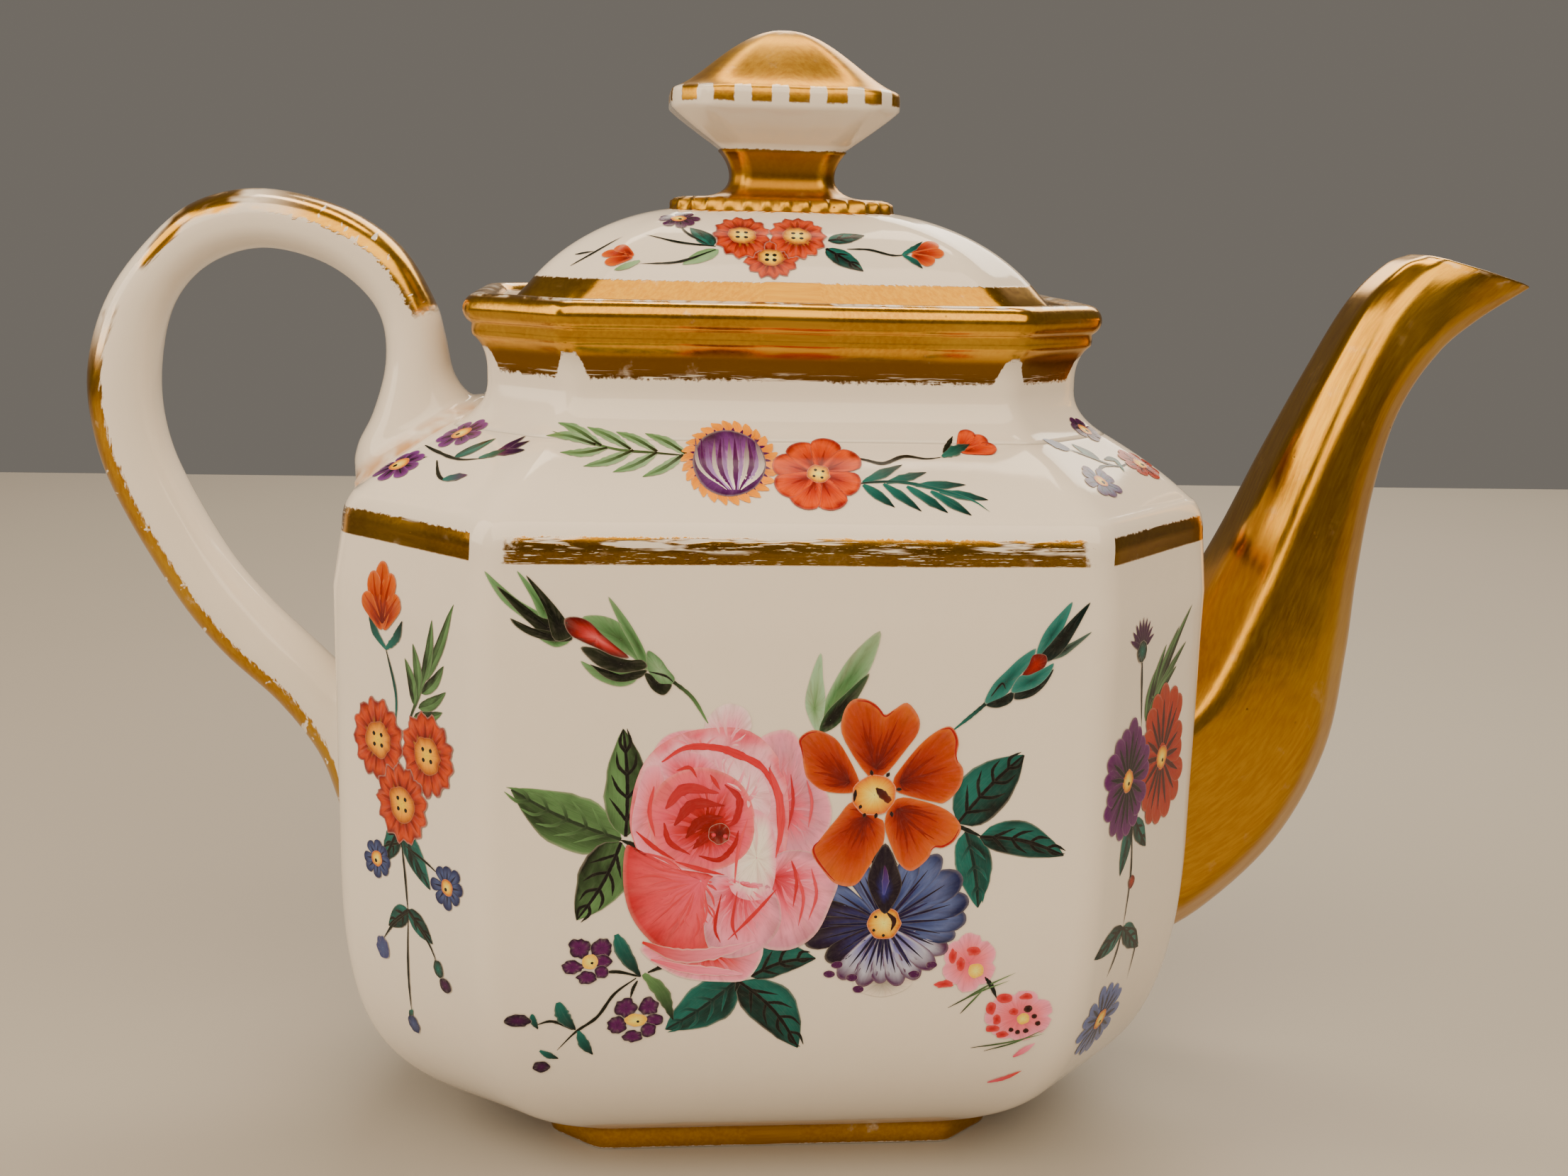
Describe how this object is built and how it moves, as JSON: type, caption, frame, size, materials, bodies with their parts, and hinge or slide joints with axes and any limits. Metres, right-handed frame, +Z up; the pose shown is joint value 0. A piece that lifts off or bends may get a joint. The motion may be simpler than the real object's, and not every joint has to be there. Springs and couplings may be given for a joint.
{
  "type": "miniature teapot",
  "caption": "Miniature octagonal porcelain teapot with a gilt spout, loop handle, painted flower sprays and a lift-off lid with a faceted knob.",
  "frame": {"origin": "middle of the overall box, on the plane of the foot", "axes": "+X from the handle to the spout, +Y from the front panel to the back panel, +Z up"},
  "size_m": [0.1118, 0.046, 0.0838],
  "materials": {
    "glazed_porcelain": "warm white hard-paste porcelain under a clear glossy glaze, with painted enamel flowers",
    "gilt_rim": "glazed porcelain with a broad brushed band of burnished gold, worn at the corners",
    "gilding": "glazed porcelain covered with burnished gold"
  },
  "bodies": {
    "pot": {"body_shell": "glazed_porcelain", "neck_collar": "gilt_rim", "foot_ring": "gilding", "spout": "gilding", "handle": "glazed_porcelain"},
    "lid": {"lid_dome": "glazed_porcelain", "lid_flange": "glazed_porcelain", "knob_base": "gilding", "knob_stem": "gilding", "knob_head": "gilding"}
  },
  "joints": [
    {"name": "lid_lift", "type": "slide", "parent": "pot", "child": "lid", "axis": [0, 0, 1], "range_m": [0, 0.03]}
  ]
}
